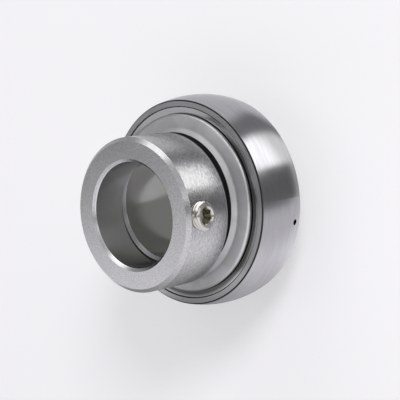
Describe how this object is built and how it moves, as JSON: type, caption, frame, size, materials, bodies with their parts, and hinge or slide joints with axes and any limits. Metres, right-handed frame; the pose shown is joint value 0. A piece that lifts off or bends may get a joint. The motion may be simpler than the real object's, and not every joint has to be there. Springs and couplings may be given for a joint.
{
  "type": "insert bearing",
  "caption": "Insert bearing: wide inner ring, spherical outside, sealed and shielded both sides, with an eccentric locking collar and set screw.",
  "frame": {"origin": "centre of the spherical outside, on the bearing's axis", "axes": "+Z along the bearing's axis from the rear end to the locking collar; +X towards the set screw as it is stored"},
  "size_m": [0.062, 0.062, 0.0483],
  "materials": {
    "ground_steel": "ground and polished bearing steel, faint circumferential grinding lines",
    "inner_ring_steel": "ground bearing steel with a thin film of oil",
    "turned_steel": "fine-turned, satin",
    "screw_steel": "bright plated, threaded",
    "flinger_zinc": "zinc-plated pressed sheet, satin",
    "seal_steel": "zinc-plated pressed sheet, satin",
    "seal_rubber": "moulded nitrile rubber, matt",
    "cage_steel": "pressed sheet, plain",
    "rivet_steel": "plain wire, headed",
    "ball_steel": "lapped mirror finish"
  },
  "bodies": {
    "outer_ring": {"outer_ring": "ground_steel", "seal_washer_front": "seal_steel", "seal_washer_rear": "seal_steel", "seal_lip_front": "seal_rubber", "seal_lip_rear": "seal_rubber"},
    "inner_ring": {"inner_ring": "inner_ring_steel", "flinger_front": "flinger_zinc", "flinger_rear": "flinger_zinc"},
    "cage": {"cage_front": "cage_steel", "cage_rear": "cage_steel", "cage_rivets": "rivet_steel"},
    "ball_1": {"ball_1": "ball_steel"},
    "ball_2": {"ball_2": "ball_steel"},
    "ball_3": {"ball_3": "ball_steel"},
    "ball_4": {"ball_4": "ball_steel"},
    "ball_5": {"ball_5": "ball_steel"},
    "ball_6": {"ball_6": "ball_steel"},
    "ball_7": {"ball_7": "ball_steel"},
    "ball_8": {"ball_8": "ball_steel"},
    "ball_9": {"ball_9": "ball_steel"},
    "collar": {"locking_collar": "turned_steel"},
    "set_screw": {"set_screw": "screw_steel"}
  },
  "joints": [
    {"name": "inner_spin", "type": "hinge", "parent": "outer_ring", "child": "inner_ring", "pos_m": [0, 0, 0], "axis": [0, 0, 1], "continuous": true},
    {"name": "cage_orbit", "type": "hinge", "parent": "outer_ring", "child": "cage", "pos_m": [0, 0, 0], "axis": [0, 0, 1], "continuous": true},
    {"name": "ball_1_roll", "type": "hinge", "parent": "cage", "child": "ball_1", "pos_m": [0.02278, 0.0032, 0], "axis": [0, 0, 1], "continuous": true},
    {"name": "ball_2_roll", "type": "hinge", "parent": "cage", "child": "ball_2", "pos_m": [0.01539, 0.01709, 0], "axis": [0, 0, 1], "continuous": true},
    {"name": "ball_3_roll", "type": "hinge", "parent": "cage", "child": "ball_3", "pos_m": [0.0008, 0.02299, 0], "axis": [0, 0, 1], "continuous": true},
    {"name": "ball_4_roll", "type": "hinge", "parent": "cage", "child": "ball_4", "pos_m": [-0.01416, 0.01812, 0], "axis": [0, 0, 1], "continuous": true},
    {"name": "ball_5_roll", "type": "hinge", "parent": "cage", "child": "ball_5", "pos_m": [-0.0225, 0.00478, 0], "axis": [0, 0, 1], "continuous": true},
    {"name": "ball_6_roll", "type": "hinge", "parent": "cage", "child": "ball_6", "pos_m": [-0.02031, -0.0108, 0], "axis": [0, 0, 1], "continuous": true},
    {"name": "ball_7_roll", "type": "hinge", "parent": "cage", "child": "ball_7", "pos_m": [-0.00862, -0.02133, 0], "axis": [0, 0, 1], "continuous": true},
    {"name": "ball_8_roll", "type": "hinge", "parent": "cage", "child": "ball_8", "pos_m": [0.00711, -0.02187, 0], "axis": [0, 0, 1], "continuous": true},
    {"name": "ball_9_roll", "type": "hinge", "parent": "cage", "child": "ball_9", "pos_m": [0.01951, -0.01219, 0], "axis": [0, 0, 1], "continuous": true},
    {"name": "collar_turn", "type": "hinge", "parent": "inner_ring", "child": "collar", "pos_m": [0.00075, -0.0005, 0.0156], "axis": [0, 0, 1], "continuous": true},
    {"name": "screw_advance", "type": "slide", "parent": "collar", "child": "set_screw", "axis": [-0.9997, 0.0262, 0], "range_m": [-0.003, 0.0019]}
  ],
  "couplings": [
    {"joint": "cage_orbit", "follows": "inner_spin", "ratio": 0.39647},
    {"joint": "ball_1_roll", "follows": "inner_spin", "ratio": -2.3112},
    {"joint": "ball_2_roll", "follows": "inner_spin", "ratio": -2.3112},
    {"joint": "ball_3_roll", "follows": "inner_spin", "ratio": -2.3112},
    {"joint": "ball_4_roll", "follows": "inner_spin", "ratio": -2.3112},
    {"joint": "ball_5_roll", "follows": "inner_spin", "ratio": -2.3112},
    {"joint": "ball_6_roll", "follows": "inner_spin", "ratio": -2.3112},
    {"joint": "ball_7_roll", "follows": "inner_spin", "ratio": -2.3112},
    {"joint": "ball_8_roll", "follows": "inner_spin", "ratio": -2.3112},
    {"joint": "ball_9_roll", "follows": "inner_spin", "ratio": -2.3112}
  ]
}
